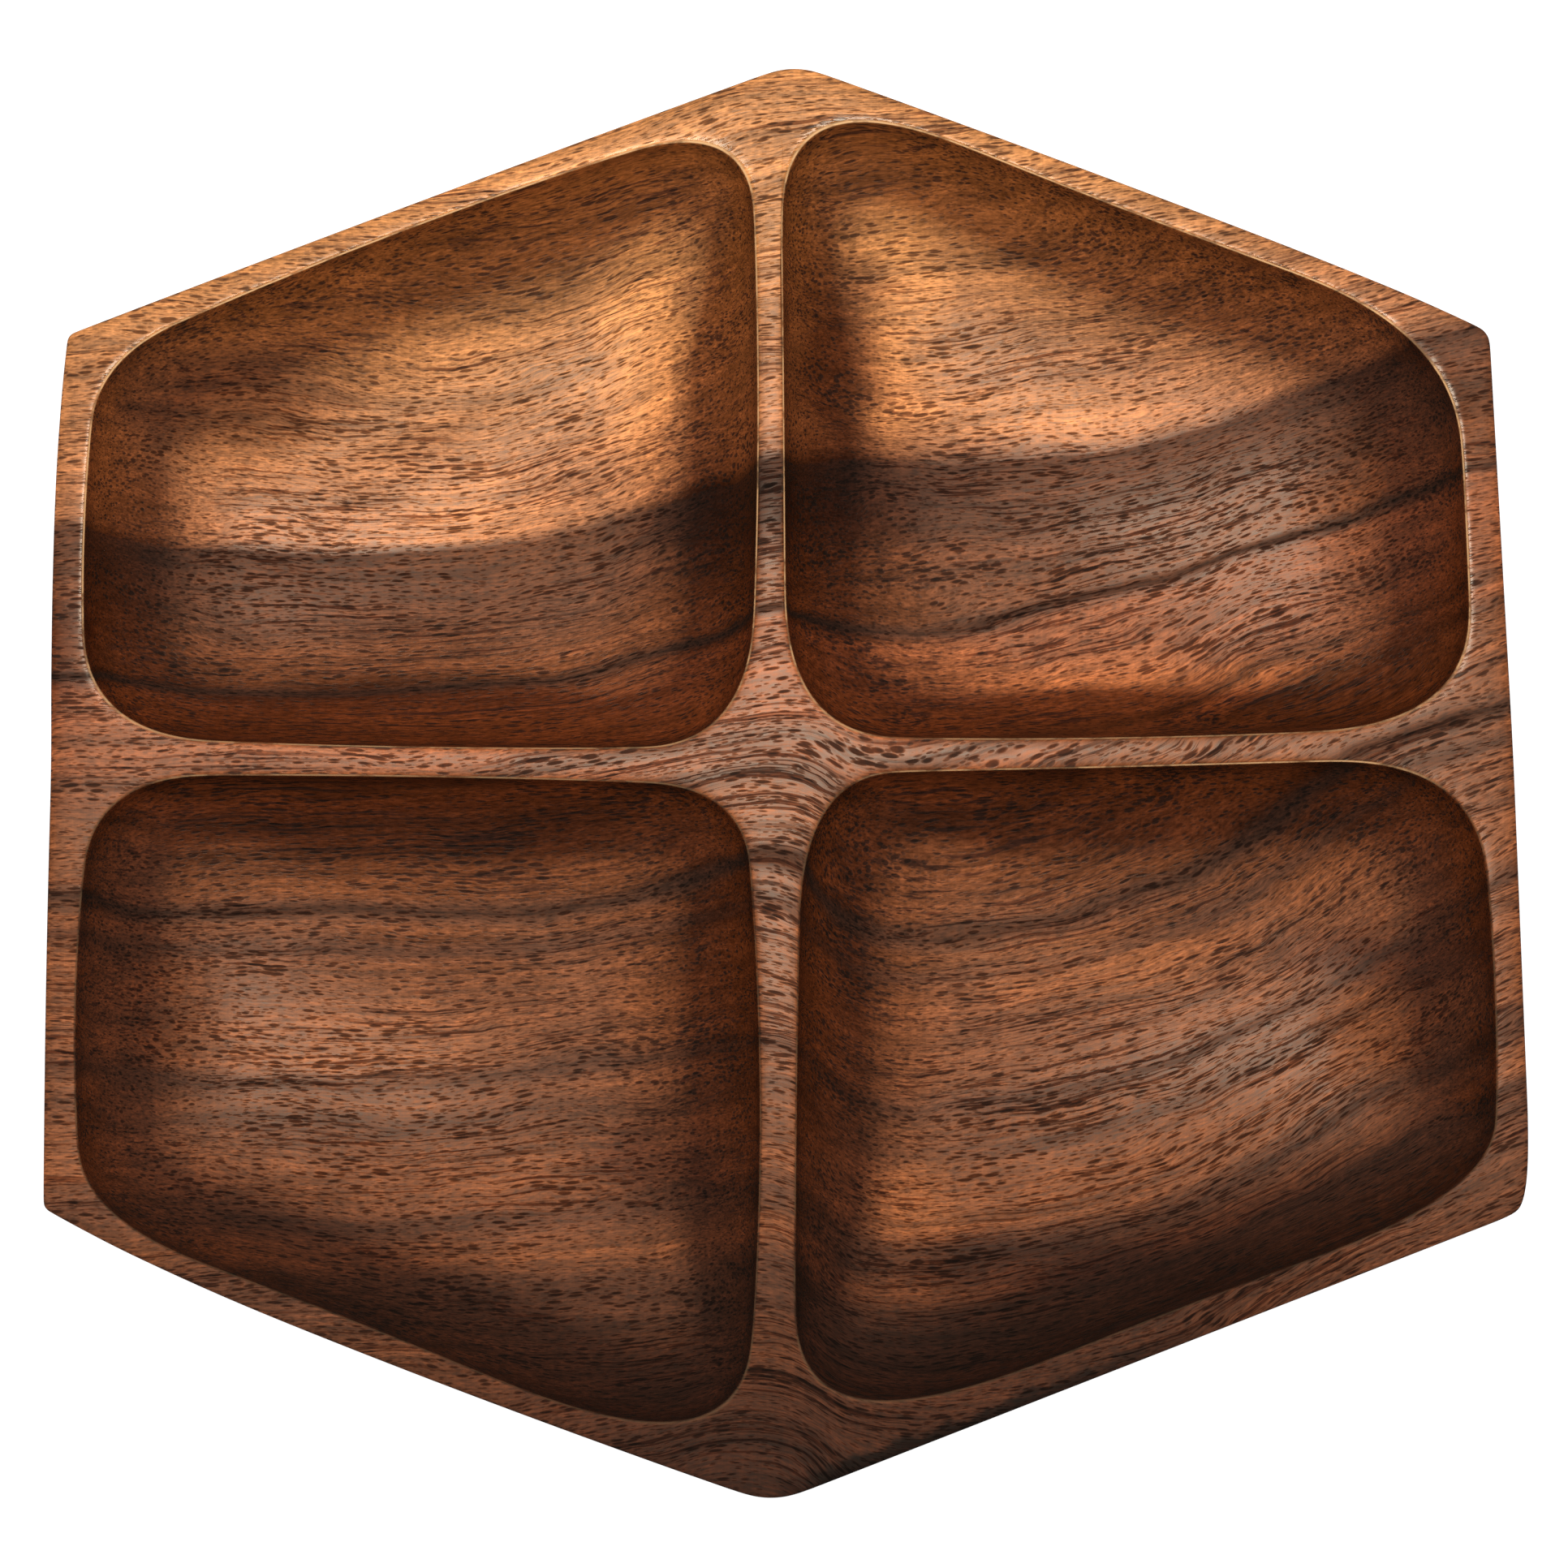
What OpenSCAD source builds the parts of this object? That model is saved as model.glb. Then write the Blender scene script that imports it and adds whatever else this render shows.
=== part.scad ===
// Divided serving bowl: a six-sided tray carved from one block of wood.
// Four dished wells are parted by a thin cross of standing wood.
// Seen from above, +X is to the right, +Y is towards the top tip, and the
// origin lies on the table under the middle of the bowl.
// Lists of four go round the crossing: top left, bottom left, bottom right,
// top right for wells, and top, left, bottom, right for arms of the cross.

/* [Overall size] */
// Width across the left and right sides
bowl_w = 304; // [250:1:380]
// Length from the top tip to the bottom tip
bowl_l = 295; // [240:1:370]
// Height from the table to the top of the cross
bowl_h = 38; // [30:1:60]

/* [Rim and cross] */
// Width of the rim where it is narrowest
rim_w = 6.5; // [4:0.1:14]
// Width of the cross where its arms start
divider_w = 8; // [4:0.1:16]
// Fall of the top from the crossing out to the edge
rim_crown = 0.4; // [0.1:0.05:1.5]
// Rounding of the outer top edge
edge_round = 1.2; // [0.4:0.1:3]
// Rounding of the top edge of each well
lip_round = 0.8; // [0.3:0.1:1.6]

/* [Outline] */
// Easing of the six corners
corner_ease = 6; // [2:0.5:12]
// Swell of the sides, where they bow outwards
side_bow = 1.5; // [0:0.1:4]

/* [Wells] */
// Wood left under the lowest point of a well
floor_t = 10; // [6:0.5:16]
// Fall of the floor from the foot of the walls to its middle
floor_dish = 3; // [0.5:0.1:4]
// Reach of the sloping wall under the rim, seen from above
outer_run = 32; // [20:0.5:38]
// Reach of the sloping wall under the cross, seen from above
inner_run = 26; // [14:0.5:30]
// Length over which two sides of a well are blended at a corner
well_corner = 24; // [12:0.5:28]
// Swell of the sides of a well, where they bow towards the rim
well_bow = 2; // [0:0.1:4]
// How full the hollow of a wall is, from a straight slope at 1 to a round at 2
wall_fullness = 2; // [1.4:0.05:2.4]

/* [Underside] */
// Reach of the outer wall inwards, from the rim to the base
base_inset = 17; // [4:0.5:24]
// Rounding between the outer wall and the base
base_round = 6; // [3:0.5:10]
// Easing of the corners round the base
base_ease = 16; // [6:0.5:24]
// How full the outer wall is, from a straight slope at 1 upwards
side_fullness = 1.6; // [1.1:0.05:2.5]

/* [Hidden] */

// Points on each side of a well and on each stretch of the outline
steps = 16;
// Points on half of a corner, round a well and round the outline
well_blend_steps = 5;
edge_blend_steps = 2;
// Rings round each edge, down a well's wall, down the outer wall, round the base
edge_steps = 2;
wall_steps = 11;
side_steps = 5;
base_steps = 3;
// Where the points of a side lie along it, closer together near its ends
side_shares = [0, 0.035, 0.07, 0.105, 0.14, 0.18, 0.29, 0.4, 0.5,
    0.6, 0.71, 0.82, 0.86, 0.895, 0.93, 0.965, 1];

// Corners of the outline and the two places where the cross meets it, as
// shares of half the width and half the length: top tip, upper left, left
// arm, lower left, bottom tip, lower right, right arm, upper right
outline_shares = [[0.011, 1.007], [-0.977, 0.622], [-0.994, 0.023],
    [-0.999, -0.599], [-0.018, -1.006], [1.003, -0.598],
    [0.984, 0.032], [0.957, 0.626]];
// Easing of each outline corner before and after it, in corner eases
ease_shares = [[1, 1], [0.25, 0.25], [1.3, 1.3], [0.25, 0.25],
    [1.1, 1.1], [0.6, 3.2], [1.3, 1.3], [0.45, 0.45]];
// Swell of each outline stretch, in side bows, and where along it is most
bow_shares = [0.27, 0.9, 0.2, 2.07, 0, 0, 0, 1.03];
bow_peak_shares = [0.5, 0.38, 0.5, 0.3, 0.5, 0.5, 0.5, 0.25];
// The outline points at the ends of the straight line that each stretch follows
stretch_ends = [[0, 1], [1, 3], [1, 3], [3, 4], [4, 5], [5, 7], [5, 7], [7, 0]];

// Middle of each arm of the cross at the crossing and at the rim, as shares of
// half the width and half the length
arm_root_shares = [[-0.026, 0.024], [-0.023, 0.015], [-0.018, 0.024], [-0.023, 0.031]];
arm_tip_shares = [[-0.029, 1], [-1, 0.031], [-0.026, -1], [1, 0.054]];
// Width of each arm at the crossing and at the rim, in divider widths
arm_root_w_shares = [1.05, 1.09, 1.6, 1.04];
arm_tip_w_shares = [0.83, 1.1, 1.47, 0.9];
// How far along each arm the ridge line leaves its middle for the tip
arm_knee_shares = [0.85, 0.6, 0.6, 0.65];

// Sides and corners of each well, anticlockwise from the crossing. A well's
// sides are an arm, the two outer sides and the next arm
// Corner blends before and after each corner, in well corners
well_cut_shares = [
    [[0.91, 1.13], [0.86, 1.1], [0.74, 0.56], [0.88, 1.08]],
    [[0.68, 0.85], [0.97, 0.78], [0.62, 1.11], [2.23, 1.24]],
    [[0.82, 1.26], [1.33, 2.39], [1.61, 0.65], [1, 1.25]],
    [[1.23, 0.97], [1.35, 0.98], [1.01, 1.45], [1.75, 1.33]]];
// Swell of each side, in well bows
well_bow_shares = [[0.95, 1.4, 1.05, 0.65], [0.45, 1.5, -0.85, 2],
    [0.25, -0.9, 1.15, -0.2], [0.85, 0.35, -0.75, -0.1]];
// Rim width beside the two outer sides, in rim widths
rim_shares = [[0.78, 0.98], [0.95, 0.94], [1.15, 0.91], [1.12, 0.88]];
// Reach of each wall at its start and end, in outer runs beside the rim and in
// inner runs beside the cross
run_shares = [
    [[1.23, 0.73], [1.03, 1.12], [1.12, 1.03], [0.73, 0.92]],
    [[1.3, 1], [1.06, 1.12], [0.94, 0.88], [1.15, 1.4]],
    [[1.35, 0.85], [0.97, 0.81], [0.88, 1.15], [1.23, 0.96]],
    [[0.58, 0.46], [0.88, 1.19], [0.84, 1], [0.69, 1.46]]];
// Growth of the corner blends from the rim of a well to its foot
foot_blend_share = 0.15;
// Longest corner blend, as a share of the side that it eases
longest_cut_share = 0.46;
// Reach of a curve's handle, as a share of the blend, that makes a corner round
handle_share = 2 / 3;
// Degrees that a wall's hollow turns through before it runs into the floor
wall_turn = 78;

// Depth of the flat sanded off the rounded underside, in base rounds
base_cut_share = 0.05;
// How far a cutting block reaches past what it cuts
overrun = 5;
wood_colour = [0.48, 0.27, 0.13];

half = [bowl_w / 2, bowl_l / 2];
ridge_z = bowl_h;
lip_z = bowl_h - rim_crown / 2;
edge_z = bowl_h - rim_crown;
foot_z = floor_t + floor_dish;
base_cut = base_round * base_cut_share;
// Slope at which the outer wall meets the rounding of the base
base_slope = atan(base_inset * side_fullness / bowl_h);
base_top = base_round * (1 - sin(base_slope)) - base_cut;

function scaled(share) = [half[0] * share[0], half[1] * share[1]];
function turned_left(v) = [-v[1], v[0]];
function unit(v) = v / norm(v);
function lerp(a, b, t) = a + (b - a) * t;
function moved_left(line, d) = let (n = turned_left(unit(line[1] - line[0])))
    [line[0] + n * d[0], line[1] + n * d[1]];
function crossing(l, m) = let (d = l[1] - l[0], e = m[1] - m[0])
    l[0] + d * cross(m[0] - l[0], e) / cross(d, e);
function bezier(p, t) = p[0] * (1 - t) ^ 3 + p[1] * 3 * t * (1 - t) ^ 2
    + p[2] * 3 * t ^ 2 * (1 - t) + p[3] * t ^ 3;

// Height and slope of a unit swell that is highest at the peak
function swell(t, peak) = 1 - (t < peak ? (peak - t) / peak : (t - peak) / (1 - peak)) ^ 2;
function swell_slope(t, peak) = t < peak ? 2 * (peak - t) / peak ^ 2
    : -2 * (t - peak) / (1 - peak) ^ 2;

// A point on a bowed side from a to b, and the direction of travel there
function side_point(a, b, t, h, peak) = lerp(a, b, t)
    - turned_left(unit(b - a)) * h * swell(t, peak);
function side_heading(a, b, t, h, peak) = unit(b - a
    - turned_left(unit(b - a)) * h * swell_slope(t, peak));

// A closed ring round the corners, anticlockwise. Every corner is blended over
// its cuts, every side is bowed, and each side gets the same number of points
function ring(corners, cuts, bows, peaks, blend_steps) =
    let (
        n = len(corners),
        next = [for (i = [0 : n - 1]) (i + 1) % n],
        last = [for (i = [0 : n - 1]) (i + n - 1) % n],
        side_l = [for (i = [0 : n - 1]) norm(corners[next[i]] - corners[i])],
        from = [for (i = [0 : n - 1]) min(cuts[i][1] / side_l[i], longest_cut_share)],
        to = [for (i = [0 : n - 1])
            1 - min(cuts[next[i]][0] / side_l[i], longest_cut_share)],
        at = function (i, t) side_point(corners[i], corners[next[i]], t, bows[i], peaks[i]),
        heading = function (i, t)
            side_heading(corners[i], corners[next[i]], t, bows[i], peaks[i]),
        blends = [for (i = [0 : n - 1])
            let (
                k = last[i],
                start = at(k, to[k]),
                end = at(i, from[i]),
                reach_in = (1 - to[k]) * side_l[k] * handle_share,
                reach_out = from[i] * side_l[i] * handle_share
            )
            [start, start + heading(k, to[k]) * reach_in,
                end - heading(i, from[i]) * reach_out, end]],
        first_share = side_shares[blend_steps],
        last_share = side_shares[steps - blend_steps]
    )
    [for (i = [0 : n - 1]) for (j = [0 : steps - 1])
        j < blend_steps ? bezier(blends[i], (1 + j / blend_steps) / 2)
        : j <= steps - blend_steps
            ? at(i, lerp(from[i], to[i],
                (side_shares[j] - first_share) / (last_share - first_share)))
        : bezier(blends[next[i]], (j - steps + blend_steps) / blend_steps / 2)];

// Outline of the bowl, moved inwards by an inset, with its corners eased on
// towards the base
outline_corners = [for (share = outline_shares) scaled(share)];
outline_bows = side_bow * bow_shares;
function outline_side(k, inset) =
    moved_left([outline_corners[k], outline_corners[(k + 1) % 8]], [inset, inset]);
function outline_ring(inset, down) = ring(
    [for (k = [0 : 7]) crossing(outline_side((k + 7) % 8, inset), outline_side(k, inset))],
    [for (k = [0 : 7]) lerp(corner_ease * ease_shares[k], [base_ease, base_ease], down)],
    outline_bows, bow_peak_shares, edge_blend_steps);

// The side of an arm of the cross, from the crossing outwards, moved by one
// inset at the crossing and by another at the rim. The hand is 1 for its left
// side and -1 for its right side
function arm_side(a, hand, insets) =
    let (
        root = scaled(arm_root_shares[a]),
        tip = scaled(arm_tip_shares[a]),
        n = turned_left(unit(tip - root)) * hand
    )
    [root + n * (divider_w * arm_root_w_shares[a] / 2 + insets[0]),
        tip + n * (divider_w * arm_tip_w_shares[a] / 2 + insets[1])];

// The outer side of a well beside an outline stretch, moved by one inset at its
// start and by another at its end
function rim_side(q, s, insets) =
    let (
        k = 2 * q + s,
        ends = [for (e = stretch_ends[k]) outline_corners[e]],
        rim = rim_w * rim_shares[q][s] + well_bow * well_bow_shares[q][s + 1]
            - outline_bows[k]
    )
    moved_left(ends, [rim, rim] + insets);

// A ring round well q, moved inwards by an even inset and by a share of the
// reach of each wall
function well_ring(q, inset, run_share) =
    let (
        even = [inset, inset],
        runs = run_shares[q] * run_share,
        last_run = [runs[3][1], runs[3][0]],
        lines = [
            arm_side(q, 1, even + inner_run * runs[0]),
            rim_side(q, 0, even + outer_run * runs[1]),
            rim_side(q, 1, even + outer_run * runs[2]),
            arm_side((q + 1) % 4, -1, even + inner_run * last_run)
        ],
        growth = 1 + foot_blend_share * run_share
    )
    ring([for (i = [0 : 3]) crossing(lines[(i + 3) % 4], lines[i])],
        well_corner * growth * well_cut_shares[q],
        well_bow * well_bow_shares[q], [for (i = [0 : 3]) 0.5], well_blend_steps);

// Rings of a well: [inset, share of the wall's reach, height]
function hollow(t) = t ^ (2 / wall_fullness);
lip_bottom = lip_z - lip_round;
well_levels = concat(
    [for (i = [0 : edge_steps]) let (a = 90 * i / edge_steps)
        [-lip_round * (1 - sin(a)), 0, lip_z - lip_round * (1 - cos(a))]],
    [for (i = [1 : wall_steps]) let (a = wall_turn * i / wall_steps)
        [0, (1 - hollow(cos(a))) / (1 - hollow(cos(wall_turn))),
            lerp(lip_bottom, foot_z, hollow(sin(a)) / hollow(sin(wall_turn)))]]);

// Rings of the outside: [inset, share of the way down, height]
shell_levels = concat(
    [for (i = [0 : edge_steps]) let (a = 90 * i / edge_steps)
        [edge_round * (1 - sin(a)), 0, edge_z - edge_round * (1 - cos(a))]],
    [for (i = [1 : side_steps]) let (s = i / side_steps)
        [base_inset * s ^ side_fullness, s, lerp(edge_z - edge_round, base_top, s)]],
    [for (i = [1 : base_steps]) let (a = lerp(base_slope, 90, i / base_steps))
        [base_inset + base_round * (cos(base_slope) - cos(a)), 1,
            base_top - base_round * (sin(a) - sin(base_slope))]]);

function at_height(points, z) = [for (p = points) [p[0], p[1], z]];
well_rings = [for (q = [0 : 3]) [for (level = well_levels)
    at_height(well_ring(q, level[0], level[1]), level[2])]];
shell_rings = [for (level = shell_levels)
    at_height(outline_ring(level[0], level[1]), level[2])];

// Ridge lines from the crossing to the rim, along the middle of each arm
roots = [for (share = arm_root_shares) scaled(share)];
crossing_point = (roots[0] + roots[1] + roots[2] + roots[3]) / 4;
function ridge(a) =
    let (
        end = shell_rings[0][2 * steps * a],
        tip = [end[0], end[1]],
        knee = lerp(roots[a], scaled(arm_tip_shares[a]), arm_knee_shares[a])
    )
    [for (j = [1 : steps - 1])
        let (
            t = side_shares[j],
            p = lerp(lerp(crossing_point, knee, t), lerp(knee, tip, t), t)
        )
        [p[0], p[1], lerp(ridge_z, edge_z, t ^ 4)]];

// How far along a row of points each one lies, as a share of the row's length
function travelled(points) =
    let (
        count = len(points),
        lengths = [for (i = 0, s = 0; i < count;
            i = i + 1, s = s + (i < count ? norm(points[i] - points[i - 1]) : 0)) s]
    )
    lengths / lengths[count - 1];

// The dished floor inside the last ring of a well, as a grid of points blended
// from the ring's four sides
function floor_grid(q) =
    let (
        foot = well_rings[q][len(well_levels) - 1],
        near = [for (i = [0 : steps]) foot[i]],
        right = [for (i = [0 : steps]) foot[steps + i]],
        far = [for (i = [0 : steps]) foot[3 * steps - i]],
        left = [for (i = [0 : steps]) foot[(4 * steps - i) % (4 * steps)]],
        across = (travelled(near) + travelled(far)) / 2,
        along = (travelled(left) + travelled(right)) / 2
    )
    [for (j = [1 : steps - 1]) for (i = [1 : steps - 1])
        let (
            u = across[i],
            v = along[j],
            p = lerp(near[i], far[i], v) + lerp(left[j], right[j], u)
                - lerp(lerp(near[0], near[steps], u), lerp(far[0], far[steps], u), v)
        )
        [p[0], p[1], foot_z - floor_dish * sin(180 * u) * sin(180 * v)]];

module carved_bowl() {
    well_n = 4 * steps;
    shell_n = 8 * steps;
    well_count = len(well_levels);
    shell_count = len(shell_levels);
    inner = steps - 1;

    // Order of the points: wells, floors, outside, ridges, crossing
    floor_0 = 4 * well_count * well_n;
    shell_0 = floor_0 + 4 * inner * inner;
    ridge_0 = shell_0 + shell_count * shell_n;
    crossing_0 = ridge_0 + 4 * inner;
    points = concat(
        [for (rings = well_rings) for (r = rings) each r],
        [for (q = [0 : 3]) each floor_grid(q)],
        [for (r = shell_rings) each r],
        [for (a = [0 : 3]) each ridge(a)],
        [[crossing_point[0], crossing_point[1], ridge_z]]);

    well_at = function (q, r, j) (q * well_count + r) * well_n + j % well_n;
    shell_at = function (r, j) shell_0 + r * shell_n + j % shell_n;
    ridge_at = function (a, j) j == 0 ? crossing_0
        : j == steps ? shell_at(0, 2 * steps * a)
        : ridge_0 + a * inner + j - 1;
    // The edge of a well's share of the top: an arm, the outline, the next arm
    border_at = function (q, j) j < steps ? ridge_at(q, j)
        : j < 3 * steps ? shell_at(0, 2 * steps * q + j - steps)
        : ridge_at((q + 1) % 4, well_n - j);
    floor_at = function (q, i, j)
        j == 0 ? well_at(q, well_count - 1, i)
        : i == steps ? well_at(q, well_count - 1, steps + j)
        : j == steps ? well_at(q, well_count - 1, 3 * steps - i)
        : i == 0 ? well_at(q, well_count - 1, well_n - j)
        : floor_0 + (q * inner + j - 1) * inner + i - 1;

    top_quads = [for (q = [0 : 3]) for (j = [0 : well_n - 1])
        [border_at(q, j), well_at(q, 0, j), well_at(q, 0, j + 1),
            border_at(q, (j + 1) % well_n)]];
    wall_quads = [for (q = [0 : 3]) for (r = [0 : well_count - 2]) for (j = [0 : well_n - 1])
        [well_at(q, r, j), well_at(q, r + 1, j), well_at(q, r + 1, j + 1),
            well_at(q, r, j + 1)]];
    floor_quads = [for (q = [0 : 3]) for (i = [0 : inner]) for (j = [0 : inner])
        [floor_at(q, i, j), floor_at(q, i, j + 1), floor_at(q, i + 1, j + 1),
            floor_at(q, i + 1, j)]];
    shell_quads = [for (r = [0 : shell_count - 2]) for (j = [0 : shell_n - 1])
        [shell_at(r, j), shell_at(r, j + 1), shell_at(r + 1, j + 1), shell_at(r + 1, j)]];
    base_face = [for (j = [0 : shell_n - 1]) shell_at(shell_count - 1, j)];
    triangles = [for (quad = concat(top_quads, wall_quads, floor_quads, shell_quads))
        each [[quad[0], quad[1], quad[2]], [quad[0], quad[2], quad[3]]]];

    color(wood_colour)
    difference() {
        polyhedron(points, concat(triangles, [base_face]));
        // The flat that the bowl rests on
        translate([-bowl_w, -bowl_l, -base_cut - overrun])
            cube([2 * bowl_w, 2 * bowl_l, base_cut + overrun]);
    }
}

carved_bowl();
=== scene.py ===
import math

import bmesh
import bpy
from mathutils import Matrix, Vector
from mathutils.bvhtree import BVHTree


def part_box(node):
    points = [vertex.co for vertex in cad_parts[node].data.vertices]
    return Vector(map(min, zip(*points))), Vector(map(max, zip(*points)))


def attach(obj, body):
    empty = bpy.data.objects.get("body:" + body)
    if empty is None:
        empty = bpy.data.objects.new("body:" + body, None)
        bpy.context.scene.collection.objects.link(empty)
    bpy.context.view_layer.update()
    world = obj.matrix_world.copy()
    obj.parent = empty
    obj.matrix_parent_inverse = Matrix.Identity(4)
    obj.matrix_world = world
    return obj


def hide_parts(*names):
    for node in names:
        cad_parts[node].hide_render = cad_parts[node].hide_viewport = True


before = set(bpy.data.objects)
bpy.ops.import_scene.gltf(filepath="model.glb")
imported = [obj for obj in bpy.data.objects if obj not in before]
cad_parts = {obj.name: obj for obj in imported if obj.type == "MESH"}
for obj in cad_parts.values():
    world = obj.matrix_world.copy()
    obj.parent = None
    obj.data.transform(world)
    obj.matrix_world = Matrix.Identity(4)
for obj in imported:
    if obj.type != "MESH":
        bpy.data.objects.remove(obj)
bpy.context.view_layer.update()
scene = bpy.context.scene
MM = 0.001

# Camera
# The bowl is seen from straight above, with the camera leaning a few degrees
# towards the bottom tip, so that the near walls of the wells foreshorten.
CAMERA_LEAN = math.radians(4)
CAMERA_DISTANCE = 1100 * MM
FRAME_WIDTH = 321.5 * MM
SENSOR = 36.0
AIM_ACROSS = -0.43 * MM
AIM_ALONG = -1.46 * MM
low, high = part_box("carved_bowl")
aim = Vector((AIM_ACROSS, AIM_ALONG, high.z))
camera_data = bpy.data.cameras.new("camera")
camera_data.sensor_width = SENSOR
camera_data.lens = SENSOR * CAMERA_DISTANCE / FRAME_WIDTH
camera = bpy.data.objects.new("camera", camera_data)
lean = Vector((0, -math.sin(CAMERA_LEAN), math.cos(CAMERA_LEAN)))
camera.location = aim + CAMERA_DISTANCE * lean
camera.rotation_euler = (CAMERA_LEAN, 0, 0)
scene.collection.objects.link(camera)
scene.camera = camera

# The carved bowl
# One block of acacia, carved and sanded. Its surface is the carved solid,
# with its facets joined into four-sided faces and rounded off.
CORNER_GAP = 0.001 * MM
SMOOTHING_LEVELS = 2
BASE_CREASE = 0.6
WIDEST_FOLD = math.radians(60)
WIDEST_SKEW = math.radians(150)
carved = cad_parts["carved_bowl"]
bowl_mesh = carved.data.copy()
bowl_mesh.materials.clear()
bowl = bpy.data.objects.new("acacia_bowl", bowl_mesh)
scene.collection.objects.link(bowl)

bm = bmesh.new()
bm.from_mesh(bowl_mesh)
bmesh.ops.remove_doubles(bm, verts=bm.verts[:], dist=CORNER_GAP)
base_faces = [f for f in bm.faces if all(abs(v.co.z - low.z) < CORNER_GAP for v in f.verts)]
bmesh.ops.dissolve_faces(bm, faces=base_faces)
bmesh.ops.join_triangles(
    bm,
    faces=[f for f in bm.faces if len(f.verts) == 3],
    cmp_seam=False,
    cmp_sharp=False,
    cmp_uvs=False,
    cmp_vcols=False,
    cmp_materials=False,
    angle_face_threshold=WIDEST_FOLD,
    angle_shape_threshold=WIDEST_SKEW,
    topology_influence=1,
)
crease = bm.edges.layers.float.new("crease_edge")
for edge in bm.edges:
    if all(abs(v.co.z - low.z) < CORNER_GAP for v in edge.verts):
        edge[crease] = BASE_CREASE
bm.normal_update()

# The lips are the rings of points, one round each well, that lie LIP_DROP
# below the top
LIP_DROP = 0.434 * MM
LIP_REACH = 0.02 * MM
lip_points = bm.verts.layers.float.new("lip_wear_and_highlight")
for vert in bm.verts:
    if abs(high.z - vert.co.z - LIP_DROP) < LIP_REACH:
        vert[lip_points] = 1

# A point is on the outer side if a line from it, outwards and a little down,
# meets no other part of the bowl. Its neighbours are counted with it
LEAST_SLOPE = 0.2
DOWNWARDS = Vector((0, 0, -0.15))
LINE_START = 1 * MM
outer = bm.verts.layers.float.new("outer_side")
surface = BVHTree.FromBMesh(bm)
for vert in bm.verts:
    outwards = Vector((vert.normal.x, vert.normal.y, 0))
    if outwards.length > LEAST_SLOPE:
        outwards = outwards.normalized() + DOWNWARDS
        if surface.ray_cast(vert.co + outwards * LINE_START, outwards)[0] is None:
            vert[outer] = 1
            for edge in vert.link_edges:
                edge.other_vert(vert)[outer] = 1
for face in bm.faces:
    face.smooth = True
bm.to_mesh(bowl_mesh)
bm.free()
smoothing = bowl.modifiers.new("smoothing", "SUBSURF")
smoothing.levels = SMOOTHING_LEVELS
smoothing.render_levels = SMOOTHING_LEVELS

# Oiled acacia
# The figure of the board, in millimetres: streaks that rise to the right,
# fibres, pores as short dark dashes, pale sapwood at the top and darker
# heartwood below.
SPOT_FADE = (1.3, 0.2)
CURVE_MIDDLE = 0.5
CURVE_REACH = 100.0
NEW_POINTS = 2
wood = bpy.data.materials.new("oiled_acacia")
wood.use_nodes = True
tree = wood.node_tree
shader = tree.nodes["Principled BSDF"]


def joined(node, socket, value):
    if isinstance(value, bpy.types.NodeSocket):
        tree.links.new(value, node.inputs[socket])
    else:
        node.inputs[socket].default_value = value


def reckon(operation, first, second=0.0, third=0.0):
    node = tree.nodes.new("ShaderNodeMath")
    node.operation = operation
    joined(node, 0, first)
    joined(node, 1, second)
    joined(node, 2, third)
    return node.outputs[0]


def point(x, y, z):
    node = tree.nodes.new("ShaderNodeCombineXYZ")
    joined(node, 0, x)
    joined(node, 1, y)
    joined(node, 2, z)
    return node.outputs[0]


def stretched(place, x, y, z):
    node = tree.nodes.new("ShaderNodeVectorMath")
    node.operation = "MULTIPLY"
    joined(node, 0, place)
    joined(node, 1, (1 / x, 1 / y, 1 / z))
    return node.outputs[0]


def shifted(place, scale, offset):
    node = tree.nodes.new("ShaderNodeVectorMath")
    node.operation = "MULTIPLY_ADD"
    joined(node, 0, place)
    joined(node, 1, scale)
    joined(node, 2, offset)
    return node.outputs[0]


def spot(place, x, y, wide, tall):
    node = tree.nodes.new("ShaderNodeVectorMath")
    node.operation = "LENGTH"
    joined(node, 0, shifted(place, (1 / wide, 1 / tall, 0), (-x / wide, -y / tall, 0)))
    return spread(node.outputs["Value"], *SPOT_FADE)


def cloud(place, detail=2.0, rough=0.5, output="Fac"):
    node = tree.nodes.new("ShaderNodeTexNoise")
    joined(node, "Vector", place)
    node.inputs["Scale"].default_value = 1.0
    node.inputs["Detail"].default_value = detail
    node.inputs["Roughness"].default_value = rough
    return node.outputs[output]


def dashes(place):
    node = tree.nodes.new("ShaderNodeTexVoronoi")
    node.feature = "F1"
    joined(node, "Vector", place)
    node.inputs["Scale"].default_value = 1.0
    return node.outputs["Distance"]


def spread(value, low, high, out_low=0.0, out_high=1.0, smooth=True):
    node = tree.nodes.new("ShaderNodeMapRange")
    node.interpolation_type = "SMOOTHSTEP" if smooth else "LINEAR"
    joined(node, "Value", value)
    node.inputs["From Min"].default_value = low
    node.inputs["From Max"].default_value = high
    node.inputs["To Min"].default_value = out_low
    node.inputs["To Max"].default_value = out_high
    return node.outputs[0]


def bent(value, points, low, high):
    node = tree.nodes.new("ShaderNodeFloatCurve")
    curve = node.mapping.curves[0]
    for i, (at, height) in enumerate(points):
        place = ((at - low) / (high - low), CURVE_MIDDLE + height / CURVE_REACH)
        if i < NEW_POINTS:
            curve.points[i].location = place
        else:
            curve.points.new(*place)
    node.mapping.update()
    joined(node, "Value", spread(value, low, high, smooth=False))
    return reckon("MULTIPLY", reckon("SUBTRACT", node.outputs[0], CURVE_MIDDLE), CURVE_REACH)


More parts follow.
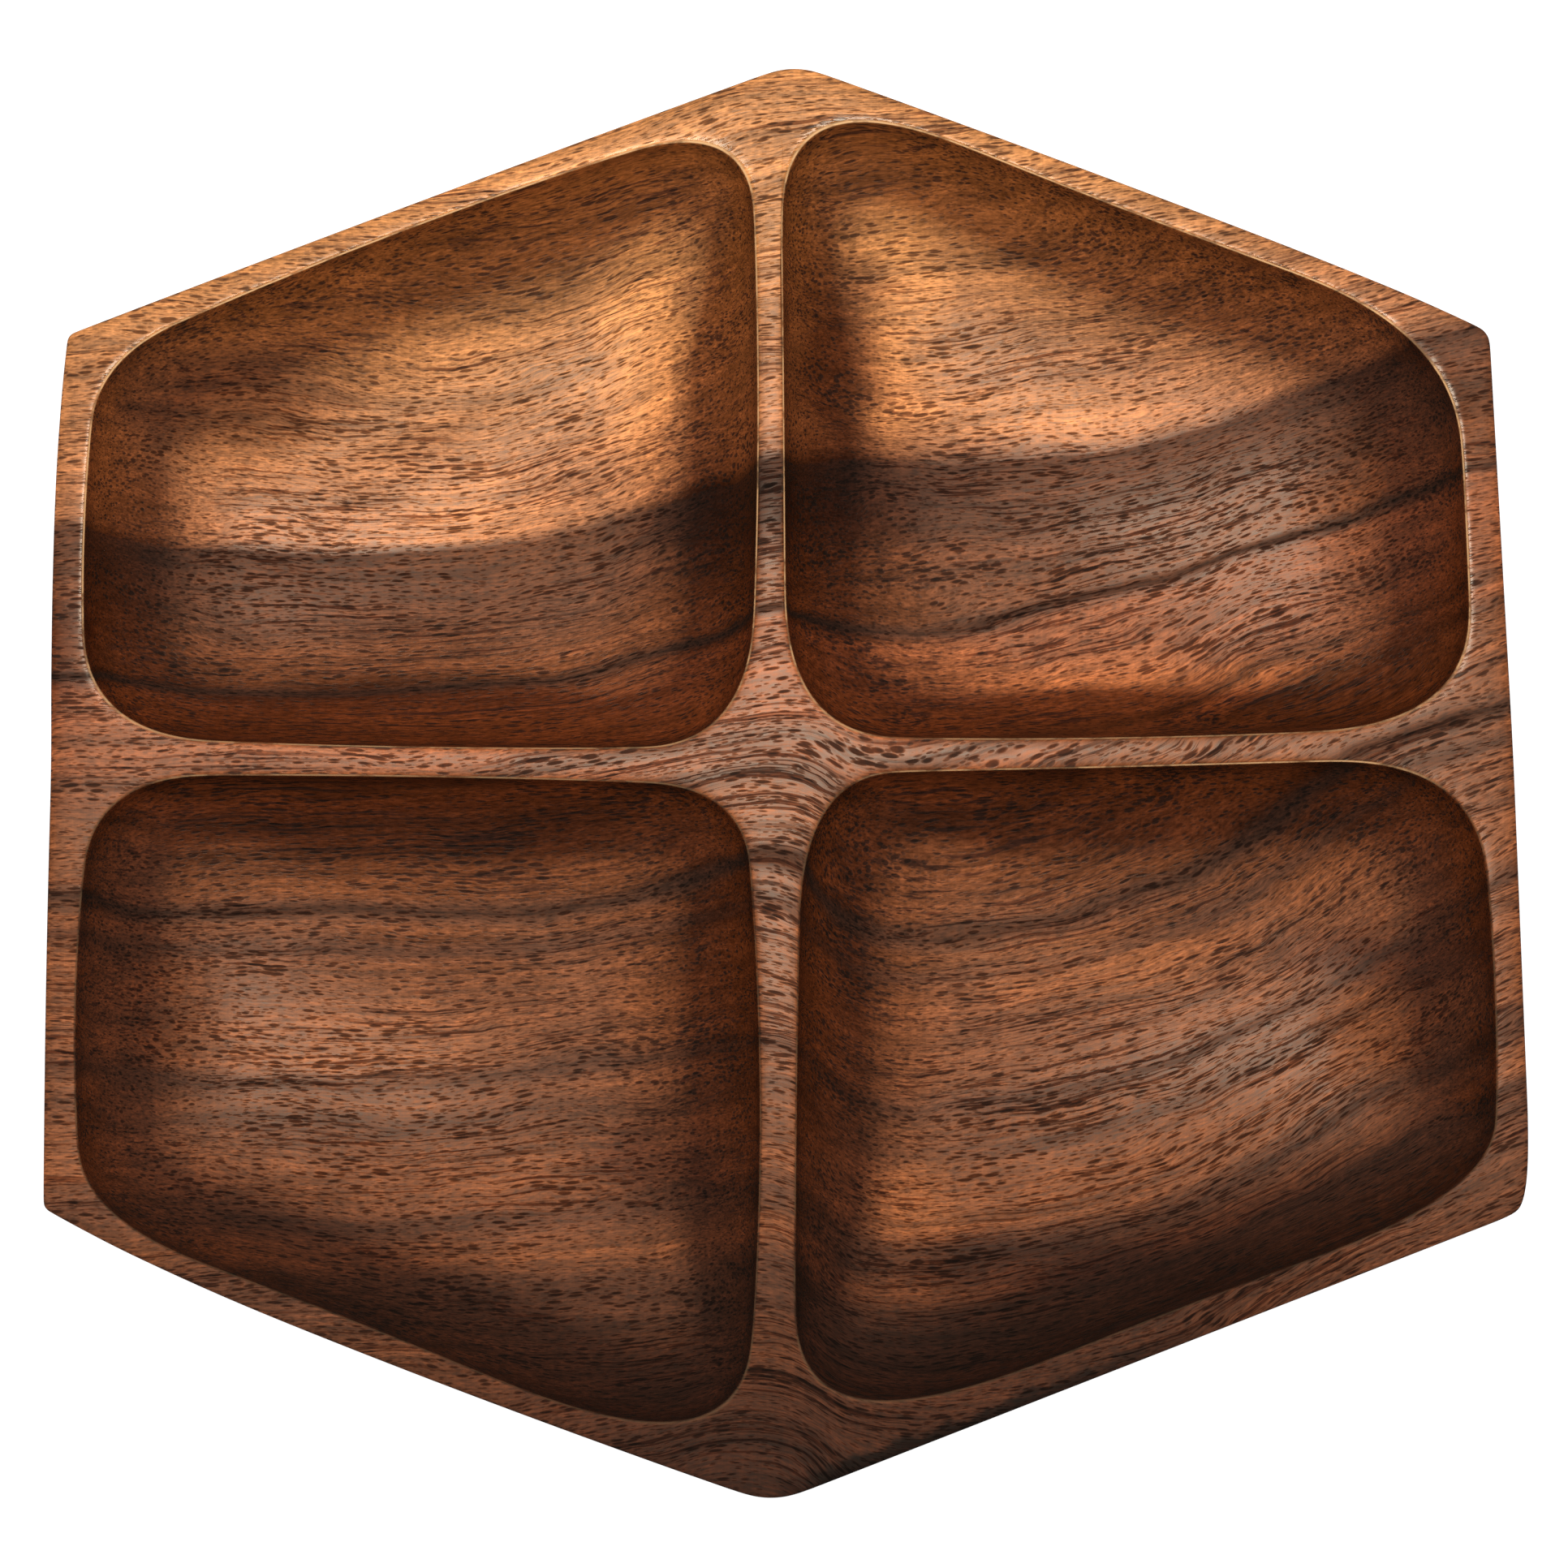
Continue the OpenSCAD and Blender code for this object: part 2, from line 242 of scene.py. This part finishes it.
def tinted(mode, amount, first, second):
    node = tree.nodes.new("ShaderNodeMix")
    node.data_type = "RGBA"
    node.blend_type = mode
    joined(node, 0, amount)
    joined(node, 6, first)
    joined(node, 7, second)
    return node.outputs[2]


def tones(value, stops):
    node = tree.nodes.new("ShaderNodeValToRGB")
    ramp = node.color_ramp
    ramp.interpolation = "LINEAR"
    for i, (at, colour) in enumerate(stops):
        if i < NEW_POINTS:
            stop = ramp.elements[i]
            stop.position = at
        else:
            stop = ramp.elements.new(at)
        stop.color = (*colour, 1)
    joined(node, 0, value)
    return node.outputs[0]


coordinates = tree.nodes.new("ShaderNodeTexCoord").outputs["Object"]
place = stretched(coordinates, MM, MM, MM)
split = tree.nodes.new("ShaderNodeSeparateXYZ")
joined(split, 0, place)
across, along, up = split.outputs

# How far the streaks have risen at each place across, near the top and near
# the bottom of the bowl, and how they wave
FIGURE_HALF = 155.0
BLEND_ZONE = (-45.0, 55.0)
SLOW_WAVE = 9.0
SLOW_WAVE_SIZE = (70, 32, 40)
QUICK_WAVE = 3.2
QUICK_WAVE_SIZE = (22, 9, 14)
LAYER_LEAN = -0.12
RISE_TOP = [(-155, -1), (-115, 0), (-70, 0.3), (-45, 4.5), (-27, 10), (0, 15), (22, 17.5), (54, 21),
            (80, 26), (97, 31), (122, 37), (155, 46)]
RISE_BOTTOM = [(-155, 0), (-115, 0), (-70, 0), (-30, 3), (-3, 5), (17, -4), (40, -4), (77, 4), (100, 14),
               (122, 26), (155, 42)]
rise_top = bent(across, RISE_TOP, -FIGURE_HALF, FIGURE_HALF)
rise_bottom = bent(across, RISE_BOTTOM, -FIGURE_HALF, FIGURE_HALF)
upper = spread(along, *BLEND_ZONE)
rise = reckon("ADD", reckon("MULTIPLY", rise_top, upper),
              reckon("MULTIPLY", rise_bottom, reckon("SUBTRACT", 1.0, upper)))
slow_wave = cloud(stretched(place, *SLOW_WAVE_SIZE), detail=1.0)
slow_wave = reckon("MULTIPLY_ADD", slow_wave, SLOW_WAVE, -SLOW_WAVE / 2)
quick_wave = cloud(stretched(place, *QUICK_WAVE_SIZE))
quick_wave = reckon("MULTIPLY_ADD", quick_wave, QUICK_WAVE, -QUICK_WAVE / 2)
layer = reckon("SUBTRACT", along, rise)
layer = reckon("ADD", reckon("ADD", layer, slow_wave), quick_wave)
layer = reckon("MULTIPLY_ADD", up, LAYER_LEAN, layer)
grain = point(across, layer, up)

# The tones of the growth layers, from the bottom of the bowl to the top
INK = (0.055, 0.02, 0.01)
DUSK = (0.11, 0.035, 0.014)
RUSSET = (0.15, 0.045, 0.015)
HEART = (0.22, 0.065, 0.02)
AMBER = (0.3, 0.085, 0.027)
SAP = (0.4, 0.145, 0.055)
PALE_SAP = (0.48, 0.2, 0.07)
LAYERS_HALF = 150.0
DARKEST = (0.075, 0.03)
LAYERS = [
    (-150, DUSK), (-124, RUSSET), (-116, DUSK), (-107, DUSK), (-102, HEART), (-94, DUSK), (-88, HEART),
    (-77, HEART), (-73, RUSSET), (-68, HEART), (-64, DUSK), (-60, HEART), (-46, HEART), (-40, HEART),
    (-37, DUSK), (-33, HEART), (-29, INK), (-26, HEART), (-14, HEART), (-11.5, RUSSET), (-8, AMBER),
    (-6, RUSSET), (-3, AMBER), (7, AMBER), (15, AMBER), (17.5, INK), (20, HEART), (33, RUSSET),
    (47, DUSK), (50, SAP), (95, PALE_SAP), (150, PALE_SAP),
]
stops = [((at + LAYERS_HALF) / (2 * LAYERS_HALF), tone) for at, tone in LAYERS]
colour = tones(spread(layer, -LAYERS_HALF, LAYERS_HALF, smooth=False), stops)
dark_layer = spread(colour, *DARKEST)

# Bands within the layers, fibres, and figure that runs across the grain. A
# cloud's values lie mostly within CLOUD_RANGE
CLOUD_RANGE = (0.3, 0.7)
BAND_SIZE = (90, 3.2, 8)
BAND_STRENGTH = (0.78, 1.6)
FIBRE_SIZE = (26, 0.55, 1.1)
FIBRE_STRENGTH = (0.72, 1.25)
FIGURE_SIZE = (5, 24, 12)
FIGURE_STRENGTH = (0.9, 1.1)
band = cloud(stretched(grain, *BAND_SIZE), detail=3.0, rough=0.6)
fibre = cloud(stretched(grain, *FIBRE_SIZE), rough=0.6)
figure = cloud(stretched(place, *FIGURE_SIZE))
strength = reckon("MULTIPLY", spread(band, *CLOUD_RANGE, *BAND_STRENGTH, smooth=False),
                  spread(fibre, *CLOUD_RANGE, *FIBRE_STRENGTH, smooth=False))
figure = spread(figure, *CLOUD_RANGE, *FIGURE_STRENGTH, smooth=False)
strength = reckon("MULTIPLY", strength, figure)
colour = tinted("MULTIPLY", 1.0, colour, point(strength, strength, strength))

# Long dark threads, which come in groups
THREAD_SIZE = (40, 0.6, 1.6)
THREAD_EDGE = (0.52, 0.63)
THREAD_GROUP_SIZE = (60, 9, 20)
THREAD_GROUP_EDGE = (0.4, 0.56)
THREAD_TINT = (0.36, 0.29, 0.29, 1)
thread = cloud(stretched(grain, *THREAD_SIZE), detail=3.0, rough=0.6)
group = cloud(stretched(grain, *THREAD_GROUP_SIZE), detail=1.0)
threads = reckon("MULTIPLY", spread(thread, *THREAD_EDGE), spread(group, *THREAD_GROUP_EDGE))
colour = tinted("MULTIPLY", threads, colour, THREAD_TINT)

# Fine flecks along the grain, and faint lines that run up and down the bowl
FLECK_SIZE = (2.0, 0.42, 0.6)
FLECK_STRENGTH = (0.58, 1.46)
LINE_SIZE = (0.4, 9, 12)
LINE_STRENGTH = (0.95, 1.05)
fleck = cloud(stretched(grain, *FLECK_SIZE), rough=0.6)
flecks = spread(fleck, *CLOUD_RANGE, *FLECK_STRENGTH, smooth=False)
lines = cloud(stretched(place, *LINE_SIZE), detail=1.0)
lines = spread(lines, *CLOUD_RANGE, *LINE_STRENGTH, smooth=False)
flecks = reckon("MULTIPLY", flecks, lines)
colour = tinted("MULTIPLY", 1.0, colour, point(flecks, flecks, flecks))

# Places that are darker or paler than their layer: partly figure in the wood, partly painted shade in
# the darker places and painted sheen in the paler ones.
# Where each lies across and along, and how far it reaches. Their borders are loose
LOOSE_SIZE = (16, 9, 12)
LOOSE_ACROSS = 22.0
LOOSE_ALONG = 12.0
DARKER_FIGURE_AND_SHADE = (0.5, 0.42, 0.38, 1)
PALER_FIGURE_AND_SHEEN = (1.5, 1.5, 1.35, 1)
DARK_FIGURE_AND_SHADE_PLACES = [(-117, 80, 30, 12), (-14, 57, 16, 12), (16, 60, 28, 12), (12, 88, 12, 30),
               (-28, -78, 18, 12), (122, -36, 26, 8), (-150, 25, 8, 20), (50, -100, 50, 8)]
PALE_FIGURE_AND_SHEEN_PLACES = [(-31, 88, 12, 32), (-62, 54, 30, 12), (25, 96, 10, 28), (52, 78, 34, 8),
               (78, 22, 50, 7), (-88, -56, 34, 14), (27, -90, 10, 16), (60, -38, 40, 8)]
loose = cloud(stretched(place, *LOOSE_SIZE), detail=3.0, output="Color")
loose = shifted(loose, (LOOSE_ACROSS, LOOSE_ALONG, 0), place)
loose = shifted(loose, (1, 1, 0), (-LOOSE_ACROSS / 2, -LOOSE_ALONG / 2, 0))
for tint, places in ((DARKER_FIGURE_AND_SHADE, DARK_FIGURE_AND_SHADE_PLACES), (PALER_FIGURE_AND_SHEEN, PALE_FIGURE_AND_SHEEN_PLACES)):
    for where in places:
        colour = tinted("MULTIPLY", spot(loose, *where), colour, tint)

# Pores, cut open by the carving: large ones, wider in some places than in
# others, and fine ones between them
PORE_SIZE = (4.6, 0.8, 1.0)
PORE_GROUP_SIZE = (24, 7, 12)
PORE_GROUP_EDGE = (0.32, 0.68)
PORE_REACH = (0.22, 0.5)
PORE_EDGE = (0.0, 0.16)
FINE_PORE_SIZE = (2.3, 0.45, 0.6)
FINE_PORE_EDGE = (0.2, 0.36)
FINE_PORE_DEPTH = 0.6
PORE_STRENGTH = 0.85
PORE_TINT = (0.16, 0.11, 0.1, 1)
reach = cloud(stretched(grain, *PORE_GROUP_SIZE))
reach = spread(reach, *PORE_GROUP_EDGE, *PORE_REACH, smooth=False)
pore = spread(reckon("SUBTRACT", reach, dashes(stretched(grain, *PORE_SIZE))), *PORE_EDGE)
fine_pore = dashes(stretched(grain, *FINE_PORE_SIZE))
fine_pore = spread(fine_pore, *FINE_PORE_EDGE, FINE_PORE_DEPTH, 0.0)
pore = reckon("MAXIMUM", pore, fine_pore)
colour = tinted("MULTIPLY", reckon("MULTIPLY", pore, PORE_STRENGTH), colour, PORE_TINT)

# Golden towards the top left. Darker and redder towards the bottom right, which is painted shade where
# the light falls off
GOLDEN = (1.05, 0.98, 0.85, 1)
GOLDEN_SLOPE = -0.25
GOLDEN_ZONE = (20.0, 150.0)
BOTTOM_SHADE = (0.45, 0.38, 0.36, 1)
BOTTOM_SHADE_SLOPE = 0.12
BOTTOM_SHADE_ZONE = (90.0, 138.0)
golden = spread(reckon("MULTIPLY_ADD", across, GOLDEN_SLOPE, along), *GOLDEN_ZONE)
to_bottom = reckon("MULTIPLY", along, -1.0)
painted_bottom_shade = reckon("MULTIPLY_ADD", across, BOTTOM_SHADE_SLOPE, to_bottom)
painted_bottom_shade = spread(painted_bottom_shade, *BOTTOM_SHADE_ZONE)
colour = tinted("MULTIPLY", golden, colour, GOLDEN)
# Painted shade: the bottom right made darker and redder
colour = tinted("MULTIPLY", painted_bottom_shade, colour, BOTTOM_SHADE)

# Painted shade along the outer edge at the bottom right: a dark ragged band, which follows the outline's
# slope
EDGE_SHADE = (0.2, 0.17, 0.18, 1)
EDGE_SLOPE = -0.386
EDGE_BORDER = (-138.5, -140.5)
EDGE_START = (-5.0, 10.0)
EDGE_END = (95.0, 55.0)
RAGGED_SIZE = (9, 7, 20)
RAGGED_REACH = 9.0
ragged = cloud(stretched(place, *RAGGED_SIZE), detail=3.0, rough=0.6)
painted_edge_shade = reckon("MULTIPLY_ADD", across, EDGE_SLOPE, along)
painted_edge_shade = spread(reckon("MULTIPLY_ADD", ragged, RAGGED_REACH, painted_edge_shade), *EDGE_BORDER)
painted_edge_shade = reckon("MULTIPLY", painted_edge_shade, spread(across, *EDGE_START))
painted_edge_shade = reckon("MULTIPLY", painted_edge_shade, spread(across, *EDGE_END))
colour = tinted("MULTIPLY", painted_edge_shade, colour, EDGE_SHADE)

# The walls of the wells are painted darker and redder than the flats. This is painted shade, for the
# shade that the lamp alone doesn't give here.
# The outer side isn't darkened
WALL_SHADE_TINT = (0.36, 0.27, 0.2, 1)
WALL_SLOPE = (0.993, 0.86)
OUTER_BORDER = (1.0, 0.5)
facing = tree.nodes.new("ShaderNodeSeparateXYZ")
joined(facing, 0, tree.nodes.new("ShaderNodeNewGeometry").outputs["Normal"])
painted_wall_shade = spread(facing.outputs[2], *WALL_SLOPE)
outside = tree.nodes.new("ShaderNodeAttribute")
outside.attribute_name = "outer_side"
painted_wall_shade = reckon("MULTIPLY", painted_wall_shade, spread(outside.outputs["Fac"], *OUTER_BORDER))
colour = tinted("MULTIPLY", painted_wall_shade, colour, WALL_SHADE_TINT)

# The lips are paler than the flats, in patches: partly pale rubbed wood and partly a painted highlight.
# Most of it is in the upper half of the bowl, and where they face the bottom tip
UPPER_HALF = (-3.0, 6.0)
LIP_WEAR_AND_HIGHLIGHT = (1.0, 0.58, 0.27, 1)
LIP_EDGE = (0.45, 0.95)
LIP_IN_LOWER_HALF = 0.12
LIP_TURN = (0.6, -0.6)
LIP_TURNED_AWAY = 0.4
PATCH_SIZE = (9, 7, 5)
PATCH_EDGE = (0.38, 0.56)
PATCH_LEAST = 0.25
near_lip = tree.nodes.new("ShaderNodeAttribute")
near_lip.attribute_name = "lip_wear_and_highlight"
near_lip = near_lip.outputs["Fac"]
patchy = cloud(stretched(place, *PATCH_SIZE), detail=4.0, rough=0.65)
patchy = spread(patchy, *PATCH_EDGE, PATCH_LEAST)
lip_wear_and_highlight = spread(near_lip, *LIP_EDGE)
lip_wear_and_highlight = reckon("MULTIPLY", lip_wear_and_highlight, spread(along, *UPPER_HALF, LIP_IN_LOWER_HALF))
turned = spread(facing.outputs[1], *LIP_TURN, LIP_TURNED_AWAY, smooth=False)
lip_wear_and_highlight = reckon("MULTIPLY", lip_wear_and_highlight, turned)
colour = tinted("MIX", reckon("MULTIPLY", lip_wear_and_highlight, patchy), colour, LIP_WEAR_AND_HIGHLIGHT)

# How matt the wood is. Pores, threads, dark layers, the lower part of the bowl
# and the matt places are dull, and the lips of the upper half are glossy
SHEEN = 0.38
SHEEN_TINT = (1.0, 0.88, 0.72, 1)
OILED = (0.28, 0.4)
OPEN_GRAIN_DULL = 0.45
MATT_DULL = 0.4
MATT_ZONE = (-40.0, -120.0)
MATT_PLACES = [(-120, 78, 26, 18), (-138, -45, 14, 40), (128, 70, 18, 30), (130, -50, 18, 34)]
GLOSS = 0.13
GLOSS_EDGE = (0.04, 0.35)
GLOSS_TURN = (0.12, -0.05)
GLOSS_TURNED_AWAY = 0.35
open_grain = reckon("MAXIMUM", pore, threads)
dull = spread(fleck, *CLOUD_RANGE, *OILED, smooth=False)
dull = reckon("MULTIPLY_ADD", open_grain, OPEN_GRAIN_DULL, dull)
matt = spread(along, *MATT_ZONE)
for where in MATT_PLACES:
    matt = reckon("MAXIMUM", matt, spot(loose, *where))
matt = reckon("MAXIMUM", matt, dark_layer)
dull = reckon("MULTIPLY_ADD", matt, MATT_DULL, dull)
glossy_lip = reckon("MULTIPLY", spread(near_lip, *GLOSS_EDGE), spread(along, *UPPER_HALF))
turned = spread(facing.outputs[1], *GLOSS_TURN, GLOSS_TURNED_AWAY)
glossy_lip = reckon("MULTIPLY", reckon("MULTIPLY", glossy_lip, turned), patchy)
roughness = reckon("MULTIPLY_ADD", glossy_lip, reckon("SUBTRACT", GLOSS, dull), dull)

# The fibres stand up a little and the pores lie deep
BUMP_STRENGTH = 0.5
BUMP_HEIGHT = 0.12 * MM
FIBRE_HEIGHT = 0.5
joined(shader, "Base Color", colour)
joined(shader, "Roughness", roughness)
joined(shader, "Specular IOR Level", SHEEN)
joined(shader, "Specular Tint", SHEEN_TINT)
bump = tree.nodes.new("ShaderNodeBump")
joined(bump, "Strength", BUMP_STRENGTH)
joined(bump, "Distance", BUMP_HEIGHT)
joined(bump, "Height", reckon("SUBTRACT", reckon("MULTIPLY", fibre, FIBRE_HEIGHT), pore))
joined(shader, "Normal", bump.outputs[0])
bowl_mesh.materials.append(wood)
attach(bowl, "root")
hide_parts("carved_bowl")

# Floor
# A plain table just under the bowl's base. The camera sees it as white, and it
# keeps the bowl's soft shadow.
FLOOR_HALF = 1500 * MM
FLOOR_DROP = 0.2 * MM
FLOOR_GREY = (0.4, 0.4, 0.4, 1)
FLOOR_ROUGHNESS = 0.7
FLOOR_WHITE = (1, 1, 1, 1)
FLOOR_GLOW = 0.9
floor_mesh = bpy.data.meshes.new("floor")
bm = bmesh.new()
bmesh.ops.create_grid(bm, x_segments=1, y_segments=1, size=FLOOR_HALF)
bm.to_mesh(floor_mesh)
bm.free()
floor = bpy.data.objects.new("floor", floor_mesh)
scene.collection.objects.link(floor)
paper = bpy.data.materials.new("pale_floor")
paper.use_nodes = True
paper_shader = paper.node_tree.nodes["Principled BSDF"]
paper_shader.inputs["Base Color"].default_value = FLOOR_GREY
paper_shader.inputs["Roughness"].default_value = FLOOR_ROUGHNESS
paper_shader.inputs["Emission Color"].default_value = FLOOR_WHITE
seen = paper.node_tree.nodes.new("ShaderNodeLightPath").outputs["Is Camera Ray"]
glow = paper.node_tree.nodes.new("ShaderNodeMath")
glow.operation = "MULTIPLY"
glow.inputs[1].default_value = FLOOR_GLOW
paper.node_tree.links.new(seen, glow.inputs[0])
paper.node_tree.links.new(glow.outputs[0], paper_shader.inputs["Emission Strength"])
floor_mesh.materials.append(paper)
floor.location.z = -FLOOR_DROP

# Lights
# One lamp high above the upper half of the bowl gives the sheen in the wells.
# A weak sky lights the rest, hardly shows in the sheen, and is white to look at.
LAMP_HEIGHT = 1100 * MM
LAMP_ALONG = 120 * MM
LAMP_WIDTH = 400 * MM
LAMP_DEPTH = 280 * MM
LAMP_POWER = 6.0
LAMP_COLOUR = (1, 0.98, 0.94)
SKY_WHITE = (1, 1, 1, 1)
SKY_STRENGTH = 0.6
SKY_IN_SHEEN = 0.05
lamp_data = bpy.data.lights.new("top_lamp", "AREA")
lamp_data.energy = LAMP_POWER
lamp_data.color = LAMP_COLOUR
lamp_data.shape = "RECTANGLE"
lamp_data.size = LAMP_WIDTH
lamp_data.size_y = LAMP_DEPTH
lamp = bpy.data.objects.new("top_lamp", lamp_data)
lamp.location = (0, LAMP_ALONG, LAMP_HEIGHT)
scene.collection.objects.link(lamp)
world = bpy.data.worlds.new("world")
scene.world = world
world.use_nodes = True
sky = world.node_tree.nodes["Background"]
sky.inputs["Color"].default_value = SKY_WHITE
shine = world.node_tree.nodes.new("ShaderNodeMapRange")
glossy = world.node_tree.nodes.new("ShaderNodeLightPath").outputs["Is Glossy Ray"]
world.node_tree.links.new(glossy, shine.inputs["Value"])
shine.inputs["To Min"].default_value = SKY_STRENGTH
shine.inputs["To Max"].default_value = SKY_IN_SHEEN
white = world.node_tree.nodes.new("ShaderNodeMath")
white.operation = "MAXIMUM"
seen_sky = world.node_tree.nodes.new("ShaderNodeLightPath").outputs["Is Camera Ray"]
world.node_tree.links.new(shine.outputs[0], white.inputs[0])
world.node_tree.links.new(seen_sky, white.inputs[1])
world.node_tree.links.new(white.outputs[0], sky.inputs["Strength"])

scene.view_settings.view_transform = "Standard"
